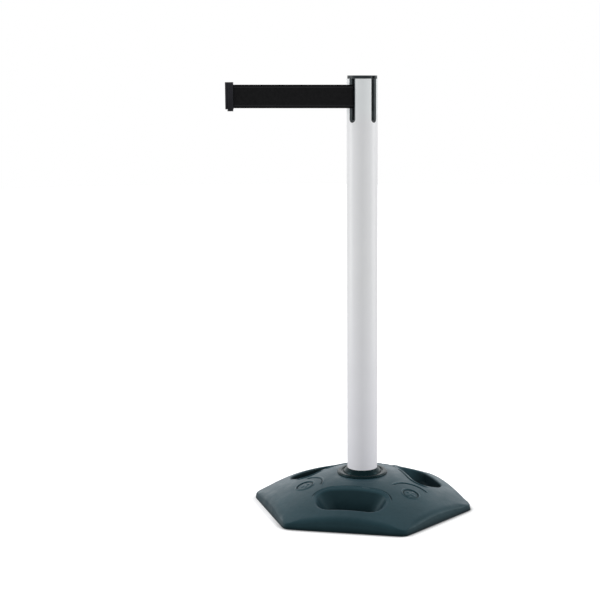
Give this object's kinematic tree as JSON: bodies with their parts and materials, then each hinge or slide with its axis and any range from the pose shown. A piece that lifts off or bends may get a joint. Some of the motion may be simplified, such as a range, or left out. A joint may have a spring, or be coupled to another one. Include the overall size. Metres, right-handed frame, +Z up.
{
  "type": "retractable belt stanchion",
  "caption": "Queue-control post on a domed hexagonal rubber base, with a sprung webbing belt that pulls out of the head and slots that take other posts' belt ends.",
  "frame": {"origin": "on the floor, on the post's axis, at the middle of the rubber base", "axes": "+Z up along the post. The belt leaves the head at -X; receivers face -Y, +X and +Y"},
  "size_m": [0.4856, 0.4255, 0.938],
  "materials": {
    "base_rubber": "moulded, satin",
    "collar_plastic": "semi-gloss",
    "post_paint": "satin powder coat",
    "plate_steel": "zinc plated",
    "screw_steel": "zinc plated",
    "spring_steel": "blued strip",
    "shaft_steel": "ground",
    "bush_brass": "sintered",
    "channel_plastic": "moulded",
    "cap_plastic": "fine texture",
    "cassette_plastic": "moulded",
    "drum_plastic": "moulded",
    "plug_plastic": "moulded",
    "brake_lining": "matte lining",
    "rotor_metal": "die cast",
    "webbing": "woven polyester",
    "clip_plastic": "fine texture"
  },
  "bodies": {
    "stand": {"rubber_base": "base_rubber", "base_plate": "plate_steel", "base_bolt": "screw_steel", "lock_washer": "screw_steel", "base_collar": "collar_plastic", "post_tube": "post_paint", "post_plug": "plug_plastic", "thread_insert": "bush_brass", "cassette_body": "cassette_plastic", "cassette_lid": "cassette_plastic", "lid_screws": "screw_steel", "spring_cover": "cassette_plastic", "brake_housing": "cassette_plastic", "brake_screws": "screw_steel", "exit_guide": "channel_plastic", "receiver_front": "channel_plastic", "receiver_right": "channel_plastic", "receiver_back": "channel_plastic", "top_cap": "cap_plastic", "cap_screws": "screw_steel", "top_bush": "bush_brass", "bottom_bush": "bush_brass", "belt_lead": "webbing", "retraction_spring": "spring_steel"},
    "drum": {"spindle": "shaft_steel", "belt_drum": "drum_plastic", "drum_pin": "shaft_steel", "belt_coil": "webbing", "spring_arbor": "rotor_metal", "brake_rotor": "rotor_metal"},
    "brake_shoe_a": {"brake_shoe_a": "brake_lining"},
    "brake_shoe_b": {"brake_shoe_b": "brake_lining"},
    "belt": {"belt": "webbing"},
    "belt_end": {"belt_end_body": "clip_plastic", "belt_end_cover": "clip_plastic", "belt_end_pin": "shaft_steel", "belt_hem": "webbing", "belt_end_screws": "screw_steel", "lock_spring": "spring_steel"},
    "lock_button": {"lock_button": "clip_plastic"}
  },
  "joints": [
    {"name": "belt_swing", "type": "hinge", "parent": "stand", "child": "belt", "pos_m": [-0.0305, 0, 0.8943], "axis": [0, 0, 1], "range_deg": [-2.5, 101.5]},
    {"name": "belt_pull", "type": "slide", "parent": "belt", "child": "belt_end", "axis": [-0.6494, 0.7604, 0], "range_m": [-0.2425, 1.9], "stiffness_N_per_m": 1.5, "springref_m": -3, "deforming": ["belt"]},
    {"name": "drum_spin", "type": "hinge", "parent": "stand", "child": "drum", "pos_m": [0, 0, 0.8943], "axis": [0, 0, 1], "range_deg": [-775, 5800], "deforming": ["retraction_spring"]},
    {"name": "brake_shoe_a_swing", "type": "hinge", "parent": "drum", "child": "brake_shoe_a", "pos_m": [0.0178, 0, 0.8209], "axis": [0, 0, 1], "range_deg": [-4, 0]},
    {"name": "brake_shoe_b_swing", "type": "hinge", "parent": "drum", "child": "brake_shoe_b", "pos_m": [-0.0178, 0, 0.8209], "axis": [0, 0, 1], "range_deg": [-4, 0]},
    {"name": "lock_press", "type": "slide", "parent": "belt_end", "child": "lock_button", "axis": [0, 0, 1], "range_m": [0, 0.0018], "stiffness_N_per_m": 400, "springref_m": -0.001, "deforming": ["lock_spring"]}
  ],
  "couplings": [
    {"joint": "drum_spin", "follows": "belt_pull", "rad_per_m": 53.19}
  ]
}
